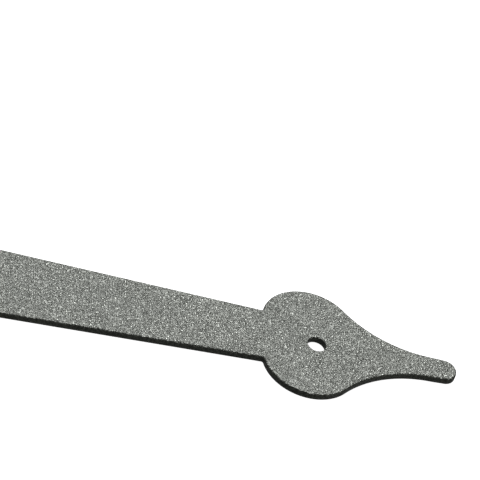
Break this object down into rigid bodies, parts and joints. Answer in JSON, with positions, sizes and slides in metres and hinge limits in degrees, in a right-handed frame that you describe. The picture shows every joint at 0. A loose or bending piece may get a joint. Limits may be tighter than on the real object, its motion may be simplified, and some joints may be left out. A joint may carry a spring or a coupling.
{
  "type": "strap hinge",
  "caption": "Flat tapered strap with a lobed spade end, swinging on a pin held in a jamb leaf with rolled eyes, for hanging a gate or door.",
  "frame": {"origin": "centre of the jamb leaf's flat back face, which lies against the post", "axes": "+X from the jamb leaf along the strap to its tip, +Y along the pin to the end that is up when the hinge is hung, +Z out of the front faces, away from the wall"},
  "size_m": [0.353, 0.1324, 0.0176],
  "materials": {
    "black_powder_coat": "fine sand-textured powder coat, satin",
    "pin_steel": "ground",
    "bush_bronze": "sintered bronze, oiled",
    "washer_steel": "zinc plated",
    "black_oxide_steel": "black oxide"
  },
  "bodies": {
    "jamb": {"jamb_leaf": "black_powder_coat", "hinge_pin": "pin_steel", "finial_upper": "black_powder_coat", "finial_lower": "black_powder_coat", "washer_upper": "washer_steel", "washer_lower": "washer_steel", "grub_screw_upper": "black_oxide_steel", "grub_screw_lower": "black_oxide_steel"},
    "strap": {"strap_leaf": "black_powder_coat", "bush_upper": "bush_bronze", "bush_lower": "bush_bronze"}
  },
  "joints": [
    {"name": "strap_swing", "type": "hinge", "parent": "jamb", "child": "strap", "pos_m": [0.029, 0, 0.0088], "axis": [0, -1, 0], "range_deg": [0, 180]}
  ]
}
